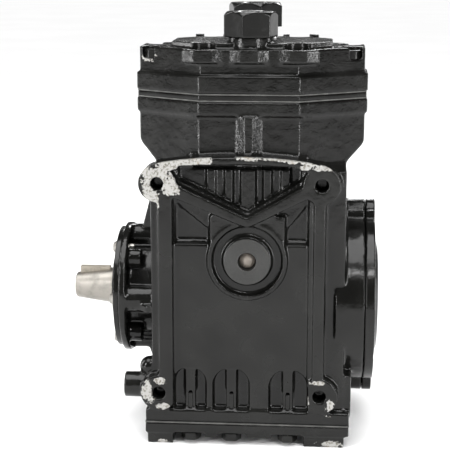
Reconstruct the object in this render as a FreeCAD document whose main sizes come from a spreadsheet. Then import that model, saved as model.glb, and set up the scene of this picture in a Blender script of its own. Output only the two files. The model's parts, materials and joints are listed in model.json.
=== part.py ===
"""Belt-driven two-cylinder reciprocating compressor for vehicle air conditioning.

Frame: +Z up, crankshaft along X with its tapered nose towards -X, the tapped side mounting face at -Y.
The origin is the centre of the four tapped holes in the feet, on the plane the feet stand on.
All lengths are millimetres.
"""
import FreeCAD, Part
import math
import os
import types
import Sketcher
from FreeCAD import Placement, Rotation, Vector

SIZES = [
    ("mid", 5.0, "X of the plane midway between the cylinders"),
    ("crank_height", 90.0, "crankshaft axis above the feet"),
    ("throw", 23.7, "crankpin offset, half the stroke"),
    ("pitch", 64.0, "distance between the cylinder axes"),
    ("bore_radius", 23.8, "cylinder sleeve, inside"),
    ("sleeve_radius", 27.0, "cylinder sleeve, outside"),
    ("rod_length", 85.0, "wrist pin to crankpin"),
    ("crown", 20.0, "piston crown above its wrist pin"),
    ("skirt", 14.0, "piston skirt below its wrist pin"),
    ("pin_radius", 7.0, "wrist pin"),
    ("crankpin_radius", 14.0, "crankpin"),
    ("running", 0.05, "radial running clearance"),
    ("rest_angle", 45.0, "degrees the crank stands past the front piston's top dead centre"),
    ("big_end_gap", 0.65, "radial clearance of the open pivots, between rod and crankpin"),
    ("big_end", 19.5, "outside of the connecting rod's big end"),
    ("rod_half", 8.0, "half thickness of the big end"),
    ("rod_bolt", 2.5, "rod bolt radius"),
    ("rod_bolt_y", 17.6, "rod bolts from the rod's middle"),
    ("web_radius", 39.5, "crank webs"),
    ("pin_half", 18.0, "half length of the wrist pin"),
    ("base_bolt", 3.2, "base plate bolt radius"),
    ("cover_screw", 3.0, "rear cover screw radius"),
    ("seal_screw", 2.5, "seal plate screw radius"),
    ("dowel", 3.0, "dowel pin radius"),
    ("stop_screw", 1.9, "valve stop screw radius"),
    ("stop_screw_y", 22.7, "valve stop screws from the crank plane"),
    ("reed_gap", 0.05, "room between a reed and its seat"),
    ("reed", 0.4, "thickness of the reeds"),
    ("foot", 7.5, "height of the feet below the base plate"),
    ("plate_top", 15.0, "top of the base plate"),
    ("flange_top", 23.5, "top of the crankcase bottom flange"),
    ("case_half_x", 61.0, "half length of the crankcase"),
    ("case_half_y", 52.0, "half width of the crankcase"),
    ("case_top", 178.0, "top of the crankcase walls"),
    ("chamber_half", 46.0, "half width of the crank chamber"),
    ("base_half_x", 65.0, "half length of the base plate"),
    ("base_half_y", 56.0, "half width of the base plate"),
    ("side_face", 59.0, "side mounting faces from the crank plane"),
    ("side_x", 50.8, "side mounting holes, half spacing along X"),
    ("low_hole", 35.0, "height of the lower side mounting holes"),
    ("high_hole", 170.0, "height of the upper side mounting holes"),
    ("side_hole", 4.0, "side mounting holes, tapped radius"),
    ("boss_radius", 11.8, "side mounting bosses"),
    ("foot_x", 50.8, "foot holes, half spacing along X"),
    ("foot_y", 38.1, "foot holes, half spacing along Y"),
    ("foot_hole", 4.0, "foot holes, tapped radius"),
    ("block_half_x", 72.0, "half length of the cylinder block"),
    ("block_half_y", 42.5, "half width of the cylinder block"),
    ("head_half_x", 73.5, "half length of the deck flange and the head"),
    ("head_half_y", 44.0, "half width of the deck flange and the head"),
    ("flat_half", 31.0, "half length of the flat sides of the head"),
    ("end_half", 15.0, "half width of the flat ends of the head"),
    ("flange_under", 210.0, "underside of the deck flange"),
    ("deck", 219.0, "top of the cylinder block"),
    ("gasket", 0.8, "thickness of the gaskets"),
    ("valve_plate", 3.2, "thickness of the valve plate"),
    ("ledge", 235.0, "top of the head's lower tier"),
    ("head_top", 251.0, "top of the head's upper tier"),
    ("plateau", 254.5, "raised middle of the head"),
    ("head_bolt", 4.0, "head bolt shank radius"),
    ("port_y", 25.0, "service ports from the crank plane"),
    ("port_bore", 8.0, "service port passage radius"),
    ("port_thread", 12.7, "service port thread, outside radius"),
    ("port_neck", 14.4, "service port neck radius"),
    ("port_a_seat", 258.0, "top of the suction port's neck"),
    ("port_b_seat", 261.5, "top of the discharge port's neck"),
    ("cap_height", 15.5, "height of the port caps"),
    ("hub_radius", 43.0, "front hub flange"),
    ("neck_radius", 31.0, "front hub neck"),
    ("hub_face", 79.0, "front face of the hub, ahead of the origin"),
    ("hub_flange", 5.0, "thickness of the hub flange"),
    ("column_radius", 8.6, "columns behind the hub flange"),
    ("column_circle", 34.0, "radius of the circle of columns"),
    ("seal_plate_radius", 40.0, "shaft seal plate"),
    ("seal_plate", 3.5, "thickness of the shaft seal plate"),
    ("seal_boss_radius", 24.0, "machined boss of the seal plate"),
    ("screw_circle", 35.0, "circle of the seal plate screws and coil holes"),
    ("coil_hole", 3.3, "clutch coil holes, tapped radius"),
    ("journal", 12.5, "bearing journals of the crankshaft"),
    ("race", 26.0, "ball bearing, outside radius"),
    ("bearing_width", 15.0, "ball bearing width"),
    ("ball", 3.9, "bearing ball radius"),
    ("ball_circle", 19.25, "circle of the ball centres"),
    ("shaft_radius", 12.0, "crankshaft nose ahead of the bearing"),
    ("nose_radius", 8.5, "small end of the taper"),
    ("nose_start", 88.0, "large end of the taper, ahead of the origin"),
    ("nose_tip", 113.0, "tip of the nose, ahead of the origin"),
    ("rear_face", 78.8, "rear face of the crankcase"),
    ("rear_drop", 3.5, "centre of the rear flange below the crank axis"),
    ("rear_radius", 55.0, "rear flange and cover"),
    ("rear_opening", 43.0, "rear opening of the crankcase"),
    ("cover", 6.2, "thickness of the rear cover"),
    ("plug_height", 121.6, "height of the oil filler plug"),
    ("plug_radius", 14.4, "flange of the oil filler plug"),
    ("plug_shank", 9.0, "threaded shank of the oil filler plug"),
    ("ring_radius", 25.0, "cast ring around the oil filler plug"),
]

doc = FreeCAD.newDocument("compressor")
sheet = doc.addObject("Spreadsheet::Sheet", "dims")


class Size:
    """A length, as its number and as the sheet expression that gives that number."""

    def __init__(self, text, number):
        self.text = text
        self.number = number

    def __add__(self, other):
        other = size_of(other)
        return Size("(%s + %s)" % (self.text, other.text), self.number + other.number)

    def __sub__(self, other):
        other = size_of(other)
        return Size("(%s - %s)" % (self.text, other.text), self.number - other.number)

    def __mul__(self, other):
        other = size_of(other)
        return Size("(%s * %s)" % (self.text, other.text), self.number * other.number)

    def __truediv__(self, other):
        other = size_of(other)
        return Size("(%s / %s)" % (self.text, other.text), self.number / other.number)

    def __radd__(self, other):
        return size_of(other) + self

    def __rsub__(self, other):
        return size_of(other) - self

    def __rmul__(self, other):
        return size_of(other) * self

    def __neg__(self):
        return 0 - self


def size_of(value):
    return value if isinstance(value, Size) else Size("(%.6g)" % value, float(value))


def sine(angle):
    return Size("sin(%s)" % angle.text, math.sin(math.radians(angle.number)))


def cosine(angle):
    return Size("cos(%s)" % angle.text, math.cos(math.radians(angle.number)))


def arcsine(ratio):
    return Size("asin(%s)" % ratio.text, math.degrees(math.asin(ratio.number)))


def fill_sheet():
    """Writes the sheet and gives its cells back as Sizes, each under its alias."""
    cells = types.SimpleNamespace()
    for row, (alias, number, meaning) in enumerate(SIZES, start=1):
        sheet.set("A%d" % row, meaning)
        sheet.set("B%d" % row, str(number))
        sheet.setAlias("B%d" % row, alias)
        setattr(cells, alias, Size("dims." + alias, number))
    return cells


d = fill_sheet()

# Rotations that turn a primitive's own +Z towards each direction.
TURN = {
    "z": Rotation(),
    "x": Rotation(Vector(0, 1, 0), 90),
    "y": Rotation(Vector(1, 0, 0), -90),
}


def place(item, x, y, z, turn=None):
    """Puts an object at a point that follows the sheet."""
    if turn is not None:
        item.Placement = Placement(Vector(), turn)
    for axis, value in (("x", x), ("y", y), ("z", z)):
        item.setExpression("Placement.Base." + axis, size_of(value).text)
    return item


def tilt(item, sense, angle, height):
    """Turns an object about the line along X at a height, right-handed about +X if sense is 1."""
    item.Placement = Placement(Vector(), Rotation(Vector(sense, 0, 0), angle.number))
    item.setExpression("Placement.Rotation.Angle", angle.text)
    item.setExpression("Placement.Base.y", (sense * height * sine(angle)).text)
    item.setExpression("Placement.Base.z", (height - height * cosine(angle)).text)
    return item


def primitive(kind, name, x, y, z, turn=None, **sizes):
    item = doc.addObject("Part::" + kind, name)
    for prop, value in sizes.items():
        item.setExpression(prop, size_of(value).text)
    return place(item, x, y, z, turn)


def block(name, x, y, z):
    """A box given by its low and high ends along each axis."""
    spans = {"Length": x, "Width": y, "Height": z}
    sizes = {prop: size_of(span[1]) - span[0] for prop, span in spans.items()}
    return primitive("Box", name, x[0], y[0], z[0], **sizes)


def spot(axis, centre, start):
    """The point where a round piece starts, from the two coordinates across its axis."""
    one, two = centre
    return {"x": (start, one, two), "y": (one, start, two), "z": (one, two, start)}[axis]


def bar(name, axis, centre, span, radius):
    """A round bar along an axis."""
    x, y, z = spot(axis, centre, span[0])
    height = size_of(span[1]) - span[0]
    return primitive("Cylinder", name, x, y, z, TURN[axis], Radius=radius, Height=height)


def taper(name, axis, centre, span, first, last):
    """A round bar whose radius goes from first to last."""
    x, y, z = spot(axis, centre, span[0])
    height = size_of(span[1]) - span[0]
    return primitive("Cone", name, x, y, z, TURN[axis], Radius1=first, Radius2=last, Height=height)


def ring(name, axis, centre, at, radius, thickness):
    """A round-section ring."""
    x, y, z = spot(axis, centre, at)
    return primitive("Torus", name, x, y, z, TURN[axis], Radius1=radius, Radius2=thickness)


def fuse(name, items):
    item = doc.addObject("Part::MultiFuse", name)
    item.Shapes = items
    item.Refine = False
    return item


def common(name, items):
    item = doc.addObject("Part::MultiCommon", name)
    item.Shapes = items
    return item


def cut(name, base, tools):
    item = doc.addObject("Part::Cut", name)
    item.Base = base
    item.Tool = tools[0] if len(tools) == 1 else fuse(name + "_tools", tools)
    return item


def group(name, items):
    """Identical fasteners that share one node."""
    item = doc.addObject("Part::Compound", name)
    item.Links = items
    return item


def origin_plane(body, role):
    return next(f for f in body.Origin.OriginFeatures if f.Role == role)


def outline(body, role, corners, name="Outline"):
    """A closed sketch on one of the body's own planes, with every corner held by the sheet."""
    sketch = body.newObject("Sketcher::SketchObject", name)
    sketch.AttachmentSupport = (origin_plane(body, role), [""])
    sketch.MapMode = "FlatFace"
    corners = [(size_of(u), size_of(v)) for u, v in corners]
    points = [Vector(u.number, v.number, 0) for u, v in corners]
    for start, end in zip(points, points[1:] + points[:1]):
        sketch.addGeometry(Part.LineSegment(start, end), False)
    for line in range(len(points)):
        sketch.addConstraint(Sketcher.Constraint("Coincident", line, 2, (line + 1) % len(points), 1))
    for line, (u, v) in enumerate(corners):
        for kind, value, axis in (("DistanceX", u, -2), ("DistanceY", v, -1)):
            if abs(value.number) < 1e-9:
                sketch.addConstraint(Sketcher.Constraint("PointOnObject", line, 1, axis))
            else:
                index = sketch.addConstraint(Sketcher.Constraint(kind, -1, 1, line, 1, value.number))
                sketch.setExpression("Constraints[%d]" % index, value.text)
    return sketch


def new_body(name):
    body = doc.addObject("PartDesign::Body", name)
    body.Label = name
    return body


PLANES = {"x": "YZ_Plane", "y": "XZ_Plane", "z": "XY_Plane"}


def prism(name, axis, corners, span):
    """A padded outline between two ends of an axis. The outline's coordinates are the other two axes."""
    body = new_body(name)
    sketch = outline(body, PLANES[axis], corners)
    pad = body.newObject("PartDesign::Pad", "Pad")
    pad.Profile = sketch
    pad.setExpression("Length", (size_of(span[1]) - span[0]).text)
    sketch.Visibility = False
    start = {"x": (span[0], 0, 0), "y": (0, span[1], 0), "z": (0, 0, span[0])}[axis]
    return place(body, *start)


def turned(name, corners, x, y, z, turn=None):
    """A turned piece. The outline is (radius, height) and turns about the piece's own Z."""
    body = new_body(name)
    sketch = outline(body, "XZ_Plane", corners)
    revolution = body.newObject("PartDesign::Revolution", "Revolution")
    revolution.Profile = sketch
    revolution.ReferenceAxis = (sketch, ["V_Axis"])
    revolution.Angle = 360.0
    sketch.Visibility = False
    return place(body, x, y, z, turn)


def octagon(half_x, half_y, flat, end):
    """Corners of the head's plan: flat sides and ends, joined by long slanting faces."""
    mid = d.mid
    return [
        (mid - half_x, -end), (mid - flat, -half_y), (mid + flat, -half_y), (mid + half_x, -end),
        (mid + half_x, end), (mid + flat, half_y), (mid - flat, half_y), (mid - half_x, end),
    ]


def outward(sign, near, far):
    """The span along Y between two distances from the crank plane, on the side of sign."""
    near, far = size_of(near), size_of(far)
    return (near, far) if sign > 0 else (-far, -near)


def on_circle(radius, degrees):
    """Offsets of a point on a circle, the angle counted from -Y towards +Z."""
    angle = math.radians(degrees)
    return -radius * math.cos(angle), radius * math.sin(angle)


def hexagon(across, centre_x, centre_y, turn_degrees=0.0):
    """Corners of a hexagon given by its width across flats."""
    radius = size_of(across) / math.sqrt(3)
    corners = []
    for step in range(6):
        angle = math.radians(60 * step + turn_degrees)
        corners.append((centre_x + radius * math.cos(angle), centre_y + radius * math.sin(angle)))
    return corners


NODES = []


def node(item, label):
    """Names an object as a sub-part, which gives its file its name."""
    item.Label = label
    NODES.append(item)
    return item


SIDES = {"front": -1, "rear": 1}
FRONT_X = d.mid - d.pitch / 2
REAR_X = d.mid + d.pitch / 2
CYLINDER_X = {"front": FRONT_X, "rear": REAR_X}
PIN_OFFSET = {"front": 1, "rear": -1}
PIN_RISE = d.throw * cosine(d.rest_angle)
ROD_TILT = arcsine(d.throw * sine(d.rest_angle) / d.rod_length)
ROD_RISE = d.rod_length * cosine(ROD_TILT)
WRIST = {side: d.crank_height + offset * PIN_RISE + ROD_RISE for side, offset in PIN_OFFSET.items()}
PLATE_LOW = d.deck + d.gasket
PLATE_HIGH = PLATE_LOW + d.valve_plate
HEAD_LOW = PLATE_HIGH + d.gasket
HEAD_BOLTS = [(29, 35), (62, 13)]
HEAD_BOLT_SPOTS = [(d.mid + sx * x, sy * y) for x, y in HEAD_BOLTS for sx in (-1, 1) for sy in (-1, 1)]
DOWEL_SPOTS = [(d.mid - 67.5, 0), (d.mid + 67.5, 0)]
BASE_BOLT_SPOTS = [(x, y) for x in (-31, -5, 31) for y in (-50.5, 50.5)]
COVER_SCREWS = [(57.5, 90), (57.5, 270), (49, 30), (49, 150), (49, 210), (49, 330)]
SEAL_SCREWS = [0, 60, 120, 180, 240, 300]
COIL_HOLES = [45, 135, 225, 315]
HUB = -d.hub_face
CASE_FRONT = d.mid - d.case_half_x
CASE_REAR = d.mid + d.case_half_x
REAR_Z = d.crank_height - d.rear_drop
FRONT_BEARING = (-70, -70 + d.bearing_width)
REAR_BEARING = (65, 65 + d.bearing_width)


def side_mount(tag, sign):
    """One side's mounting frame: bosses, uprights, an arched top bar and a V of ribs."""
    def across(near, far):
        return outward(sign, near, far)

    face = d.side_face
    inner = d.case_half_y - 4
    parts = []
    for high, z in (("low", d.low_hole), ("high", d.high_hole)):
        for end in (-1, 1):
            name = "boss_%s_%s_%s" % (tag, high, "front" if end < 0 else "rear")
            parts.append(bar(name, "y", (end * d.side_x, z), across(40, face), d.boss_radius))
    heights = (d.low_hole, d.high_hole)
    parts.append(block("upright_%s_front" % tag, (-50.6, -41.4), across(inner, face), heights))
    parts.append(block("upright_%s_rear" % tag, (46.2, 53.4), across(inner, face), heights))
    parts.append(block("web_%s_rear" % tag, (43.0, 46.4), across(inner, face - 2), heights))

    arch_radius = 310
    arch_top = 187
    arch = cut("arch_ring_%s" % tag,
               bar("arch_out_%s" % tag, "y", (0, arch_top - arch_radius), across(40, face), arch_radius),
               [bar("arch_in_%s" % tag, "y", (0, arch_top - arch_radius), across(39, face + 1),
                    arch_radius - 5.6)])
    parts.append(common("arch_%s" % tag, [
        arch, block("arch_clip_%s" % tag, (-52, 52), across(38, face + 2), (165, 195))]))

    for end in (-1, 1):
        start = end * 46.0
        corners = [(start, 173.0), (d.mid, 149.5), (d.mid, 143.0), (start, 163.5)]
        name = "vee_%s_%s" % (tag, "front" if end < 0 else "rear")
        parts.append(prism(name, "y", corners, across(inner, face)))

    panel = block("panel_%s" % tag, (-42, 44), across(inner, 55), (23, 132))
    keyhole = block("keyhole_%s" % tag, (d.mid - 23.4, d.mid + 23.4), across(inner, 56.5), (118, 150))
    disc = bar("ring_%s" % tag, "y", (d.mid, d.plug_height), across(inner, 57), d.ring_radius)
    parts += [panel, keyhole, disc]
    return fuse("mount_frame_%s" % tag, parts)


def mount_recesses(tag, sign):
    """Everything cut into one side: the fluted recess over the V, the ring's groove and the arches."""
    def across(near, far):
        return outward(sign, near, far)

    out = d.side_face + 3
    tools = []
    recess = prism("recess_solid_%s" % tag, "y", [
        (-38, 181.2), (-24, 182.0), (d.mid, 182.6), (d.mid + 24, 181.4), (38, 180.6),
        (38, 171.5), (d.mid, 151.5), (-38, 171.5)], across(45.5, out))
    ribs = []
    for index, (low, high, deep) in enumerate([(-4.6, 4.6, 49.5), (-14.6, -9.3, 48), (9.3, 14.6, 48),
                                               (-26, -20.4, 47.2), (20.4, 26, 47.2)]):
        ribs.append(block("flute_%s_%d" % (tag, index), (d.mid + low, d.mid + high),
                          across(40, deep), (140, 190)))
    tools.append(cut("recess_%s" % tag, recess, ribs))

    shallow = [(-40, 158), (d.mid - 24, 141), (d.mid - 24, 133), (-40, 133)]
    tools.append(prism("pocket_front_%s" % tag, "y", shallow, across(50.5, out)))
    shallow = [(42.5, 158), (d.mid + 24, 141), (d.mid + 24, 133), (42.5, 133)]
    tools.append(prism("pocket_rear_%s" % tag, "y", shallow, across(50.5, out)))

    plug_at = (d.mid, d.plug_height)
    tools.append(cut("groove_%s" % tag, bar("groove_out_%s" % tag, "y", plug_at, across(52.5, out), 22),
                     [bar("groove_in_%s" % tag, "y", plug_at, across(50, out + 1), 15.4)]))
    for index, (low, high, bolt) in enumerate([(-41.6, -21, -31), (-16.6, 6.6, -5), (19.1, 43.6, 31)]):
        middle = (low + high) / 2
        radius = (high - low) / 2
        arch = fuse("arch_pocket_%s_%d" % (tag, index), [
            block("arch_box_%s_%d" % (tag, index), (low, high), across(48.5, out),
                  (d.flange_top, 51.2 - radius)),
            bar("arch_top_%s_%d" % (tag, index), "y", (middle, 51.2 - radius), across(48.5, out), radius),
        ])
        column = block("arch_column_%s_%d" % (tag, index), (bolt - 3.4, bolt + 3.4), across(46, 54),
                       (20, 56))
        tools.append(cut("arch_cut_%s_%d" % (tag, index), arch, [column]))
    return tools


def front_hub():
    """The hub that carries the front bearing and seal, with its four columns and webs."""
    axis = (0, d.crank_height)
    flange_back = HUB + d.hub_flange
    parts = [
        bar("hub_flange_disc", "x", axis, (HUB, flange_back), d.hub_radius),
        bar("hub_neck", "x", axis, (HUB, CASE_FRONT + 4), d.neck_radius),
    ]
    for index, degrees in enumerate((0, 90, 180, 270)):
        y, z = on_circle(d.column_circle, degrees)
        parts.append(bar("hub_column_%d" % index, "x", (y, d.crank_height + z),
                         (HUB + 0.5, CASE_FRONT + 4), d.column_radius))
    for index, degrees in enumerate(COIL_HOLES):
        y, z = on_circle(d.screw_circle, degrees)
        parts.append(bar("coil_boss_%d" % index, "x", (y, d.crank_height + z),
                         (HUB + 1, HUB + 14), 6.2))
    top_web = [(CASE_FRONT + 3, 172), (CASE_FRONT - 2, 168), (CASE_FRONT - 11.5, 132), (CASE_FRONT + 3, 120)]
    parts.append(prism("hub_top_web", "y", top_web, (-6, 6)))
    low_web = [(CASE_FRONT + 3, 62), (CASE_FRONT - 12, 62), (CASE_FRONT - 2, 30), (CASE_FRONT + 3, 24)]
    parts.append(prism("hub_low_web", "y", low_web, (-6, 6)))
    for index, sign in enumerate((-1, 1)):
        low, high = sorted((sign * 26, sign * 46))
        parts.append(prism("hub_side_web_%d" % index, "z", [
            (CASE_FRONT + 3, low), (CASE_FRONT + 3, high),
            (CASE_FRONT - 4, sign * 46), (CASE_FRONT - 17, sign * 36), (CASE_FRONT - 17, sign * 28)]
            if sign > 0 else [
            (CASE_FRONT + 3, high), (CASE_FRONT - 17, sign * 28), (CASE_FRONT - 17, sign * 36),
            (CASE_FRONT - 4, sign * 46), (CASE_FRONT + 3, low)], (84, 89)))
    return fuse("front_hub", parts)


def rear_outline(name, span, radius, shrink=0):
    """The round rear flange with its two ears, above and below."""
    return fuse(name, [
        bar(name + "_disc", "x", (0, REAR_Z), span, radius),
        bar(name + "_ear_top", "x", (0, REAR_Z + 54.5), span, 10.5 - shrink),
        bar(name + "_ear_low", "x", (0, REAR_Z - 54.5), span, 10.5 - shrink),
    ])


def make_crankcase():
    walls = block("case_walls", (CASE_FRONT, CASE_REAR), (-d.case_half_y, d.case_half_y),
                  (d.plate_top, d.case_top))
    end_profile = [
        (d.mid - d.case_half_x, 168), (d.mid + d.case_half_x, 168), (d.mid + d.case_half_x, 179),
        (d.mid + d.block_half_x - 1.6, 189), (d.mid + d.block_half_x, 192),
        (d.mid + d.block_half_x, d.flange_under + 1), (d.mid - d.block_half_x, d.flange_under + 1),
        (d.mid - d.block_half_x, 192), (d.mid - d.block_half_x + 1.6, 189), (d.mid - d.case_half_x, 179),
    ]
    cylinders = common("cylinder_block", [
        prism("block_profile", "y", end_profile, (-50, 50)),
        prism("block_plan", "z", octagon(d.block_half_x, d.block_half_y, d.flat_half, d.end_half),
              (160, 215)),
    ])
    flange = prism("deck_flange", "z", octagon(d.head_half_x, d.head_half_y, d.flat_half, d.end_half),
                   (d.flange_under, d.deck))
    spine_corners = [(d.mid - 9.6, -42), (d.mid - 2, -46.2), (d.mid + 2, -46.2), (d.mid + 9.6, -42),
                     (d.mid + 9.6, 42), (d.mid + 2, 46.2), (d.mid - 2, 46.2), (d.mid - 9.6, 42)]
    spine = prism("block_spine", "z", spine_corners, (150, d.flange_under))
    base_flange = block("bottom_flange", (d.mid - d.base_half_x, d.mid + d.base_half_x),
                        (-d.base_half_y, d.base_half_y), (d.plate_top, d.flange_top))
    extras = [
        bar("low_stub", "x", (-46, 36.5), (-74, CASE_FRONT + 5), 8.3),
        primitive("Sphere", "low_knob", -58, -46, 49, Radius=6.6),
        block("low_lug", (58, 71), (-51, -36), (20, 47)),
        block("low_lug_far", (58, 71), (36, 51), (20, 47)),
        rear_outline("rear_flange", (60, d.rear_face), d.rear_radius),
    ]
    solid = fuse("case_solid", [walls, cylinders, flange, spine, base_flange, front_hub(),
                                side_mount("near", -1), side_mount("far", 1)] + extras)

    axis = (0, d.crank_height)
    tools = [
        block("chamber", (-50, CASE_REAR - 5), (-d.chamber_half, d.chamber_half), (10, 138)),
        bar("rear_bore", "x", axis, (50, 90), d.rear_opening),
        bar("front_bore", "x", axis, (-90, FRONT_BEARING[1]), d.race),
        bar("front_shoulder", "x", axis, (-60, -45), 20),
    ]
    for side, x in CYLINDER_X.items():
        tools.append(bar("sleeve_bore_" + side, "z", (x, 0), (130, 225), d.sleeve_radius))
    for index, (x, y) in enumerate(HEAD_BOLT_SPOTS):
        tools.append(bar("head_tap_%d" % index, "z", (x, y), (195, 225), d.head_bolt))
    for index, (x, y) in enumerate(DOWEL_SPOTS):
        tools.append(bar("dowel_bore_%d" % index, "z", (x, y), (213, 225), d.dowel))
    for index, (x, y) in enumerate(BASE_BOLT_SPOTS):
        tools.append(bar("base_tap_%d" % index, "z", (x, y), (10, 36), d.base_bolt))
    for index, degrees in enumerate(SEAL_SCREWS):
        y, z = on_circle(d.screw_circle, degrees)
        tools.append(bar("seal_tap_%d" % index, "x", (y, d.crank_height + z), (HUB - 1, HUB + 9),
                         d.seal_screw))
    for index, degrees in enumerate(COIL_HOLES):
        y, z = on_circle(d.screw_circle, degrees)
        tools.append(bar("coil_tap_%d" % index, "x", (y, d.crank_height + z), (HUB - 1, HUB + 12),
                         d.coil_hole))
    for index, (radius, degrees) in enumerate(COVER_SCREWS):
        y, z = on_circle(radius, degrees)
        tools.append(bar("cover_tap_%d" % index, "x", (y, REAR_Z + z), (66, 82), d.cover_screw))
    for end in (-1, 1):
        for high, z in (("low", d.low_hole), ("high", d.high_hole)):
            drill = outward(-1, d.side_face - 11.5, d.side_face + 1)
            tools.append(bar("side_tap_%s_%d" % (high, end), "y", (end * d.side_x, z), drill, d.side_hole))
    for tag, sign in (("near", -1), ("far", 1)):
        tools += mount_recesses(tag, sign)
    plug_at = (d.mid, d.plug_height)
    tools.append(bar("plug_tap", "y", plug_at, (-60, -40), d.plug_shank))
    tools.append(bar("plug_seat", "y", plug_at, (-62, -55.6), 15.4))
    node(cut("crankcase", solid, tools), "crankcase")


def make_sleeves():
    for side, x in CYLINDER_X.items():
        height = d.deck - 134
        body = turned("sleeve_" + side, [(d.bore_radius, 0), (d.sleeve_radius, 0), (d.sleeve_radius, height),
                                         (d.bore_radius, height)], x, 0, 134)
        node(body, "cylinder_sleeve_" + side)


def make_base():
    half_x, half_y = d.base_half_x, d.base_half_y
    plate = block("base_slab", (d.mid - half_x, d.mid + half_x), (-half_y, half_y),
                  (d.foot, d.plate_top - d.gasket))
    feet = []
    for index, (low, high) in enumerate([(-59, -42), (41, 67)]):
        for sign in (-1, 1):
            y = sorted((sign * 27, sign * (half_y.number - 1)))
            feet.append(block("foot_%d_%d" % (index, sign), (low, high), y, (0, d.foot + 2)))
    pads = []
    for index, (low, high) in enumerate([(-22, -14), (5, 21)]):
        for sign in (-1, 1):
            y = sorted((sign * 40, sign * (half_y.number - 0.5)))
            pads.append(block("pad_%d_%d" % (index, sign), (low, high), y, (4.6, d.foot + 2)))
    slab = fuse("base_solid", [plate] + feet + pads)
    tools = [block("sump", (-46, 54), (-40, 40), (11, 20))]
    for index, (x, y) in enumerate([(a * d.foot_x, b * d.foot_y) for a in (-1, 1) for b in (-1, 1)]):
        tools.append(bar("foot_tap_%d" % index, "z", (x, y), (-1, 10), d.foot_hole))
    for index, (x, y) in enumerate(BASE_BOLT_SPOTS):
        tools.append(bar("base_hole_%d" % index, "z", (x, y), (0, 20), d.base_bolt))
    node(cut("base_plate", slab, tools), "base_plate")

    low, high = d.plate_top - d.gasket, d.plate_top
    sheet_blank = block("base_gasket_blank", (d.mid - half_x, d.mid + half_x), (-half_y, half_y), (low, high))
    holes = [block("base_gasket_window", (-50, CASE_REAR - 5), (-d.chamber_half, d.chamber_half),
                   (low - 1, high + 1))]
    for index, (x, y) in enumerate(BASE_BOLT_SPOTS):
        holes.append(bar("base_gasket_hole_%d" % index, "z", (x, y), (low - 1, high + 1), d.base_bolt))
    node(cut("base_gasket", sheet_blank, holes), "base_plate_gasket")

    bolts = []
    for index, (x, y) in enumerate(BASE_BOLT_SPOTS):
        head = prism("base_bolt_head_%d" % index, "z", hexagon(11.1, x, y), (2.8, d.foot))
        shank = bar("base_bolt_shank_%d" % index, "z", (x, y), (d.foot, 34), d.base_bolt)
        bolts.append(fuse("base_bolt_%d" % index, [head, shank]))
    node(group("base_bolts", bolts), "base_plate_bolts")


def make_rear_cover():
    axis = (0, d.crank_height)
    outside = d.rear_face + d.cover
    plate = rear_outline("cover_plate", (d.rear_face, outside), d.rear_radius)
    solid = fuse("cover_solid", [
        plate,
        taper("cover_dome", "x", (0, REAR_Z), (outside, outside + 2.4), 38, 34),
        bar("cover_spigot", "x", axis, (64, d.rear_face + 1), d.rear_opening - 0.05),
    ])
    tools = [
        bar("cover_race_bore", "x", axis, (60, REAR_BEARING[1]), d.race),
        cut("cover_oring_groove", bar("cover_groove_out", "x", axis, (72, 74), 45),
            [bar("cover_groove_in", "x", axis, (71, 75), 41.2)]),
    ]
    for index, (radius, degrees) in enumerate(COVER_SCREWS):
        y, z = on_circle(radius, degrees)
        tools.append(bar("cover_hole_%d" % index, "x", (y, REAR_Z + z), (70, 95), d.cover_screw))
        tools.append(bar("cover_sink_%d" % index, "x", (y, REAR_Z + z), (outside - 4.4, 95), 5.3))
    node(cut("rear_cover", solid, tools), "rear_bearing_cover")
    node(ring("rear_oring", "x", axis, 73, 42.1, 0.85), "rear_cover_o_ring")
    screws = []
    for index, (radius, degrees) in enumerate(COVER_SCREWS):
        y, z = on_circle(radius, degrees)
        at = (y, REAR_Z + z)
        head = cut("cover_screw_head_%d" % index,
                   bar("cover_screw_disc_%d" % index, "x", at, (outside - 4.4, outside - 0.2), 5),
                   [prism("cover_screw_key_%d" % index, "x", hexagon(5, *at), (outside - 3, outside + 1))])
        shank = bar("cover_screw_shank_%d" % index, "x", at, (67, outside - 4.4), d.cover_screw)
        screws.append(fuse("cover_screw_%d" % index, [head, shank]))
    node(group("cover_screws", screws), "rear_cover_screws")


def make_bearing(name, span):
    """A deep-groove ball bearing: two races, a cage and nine balls."""
    axis = (0, d.crank_height)
    middle = (size_of(span[0]) + span[1]) / 2
    track = d.ball + d.running
    outer = cut(name + "_outer_blank", bar(name + "_outer_disc", "x", axis, span, d.race),
                [bar(name + "_outer_hole", "x", axis, (span[0] - 1, span[1] + 1), d.ball_circle + 2.1)])
    node(cut(name + "_outer", outer, [ring(name + "_outer_track", "x", axis, middle, d.ball_circle, track)]),
         name + "_outer_race")
    inner = cut(name + "_inner_blank", bar(name + "_inner_disc", "x", axis, span, d.ball_circle - 2.1),
                [bar(name + "_inner_hole", "x", axis, (span[0] - 1, span[1] + 1), d.journal)])
    node(cut(name + "_inner", inner, [ring(name + "_inner_track", "x", axis, middle, d.ball_circle, track)]),
         name + "_inner_race")
    balls = []
    pockets = []
    for index in range(9):
        y, z = on_circle(d.ball_circle, index * 40 + 20)
        balls.append(primitive("Sphere", "%s_ball_%d" % (name, index), middle, y, d.crank_height + z,
                               Radius=d.ball))
        pockets.append(primitive("Sphere", "%s_pocket_%d" % (name, index), middle, y, d.crank_height + z,
                                 Radius=d.ball + 0.1))
    node(group(name + "_balls", balls), name + "_balls")
    cage = cut(name + "_cage_blank",
               bar(name + "_cage_disc", "x", axis, (middle - 4.6, middle + 4.6), d.ball_circle + 1.1),
               [bar(name + "_cage_hole", "x", axis, (middle - 6, middle + 6), d.ball_circle - 1.1)])
    node(cut(name + "_cage", cage, pockets), name + "_cage")


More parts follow.
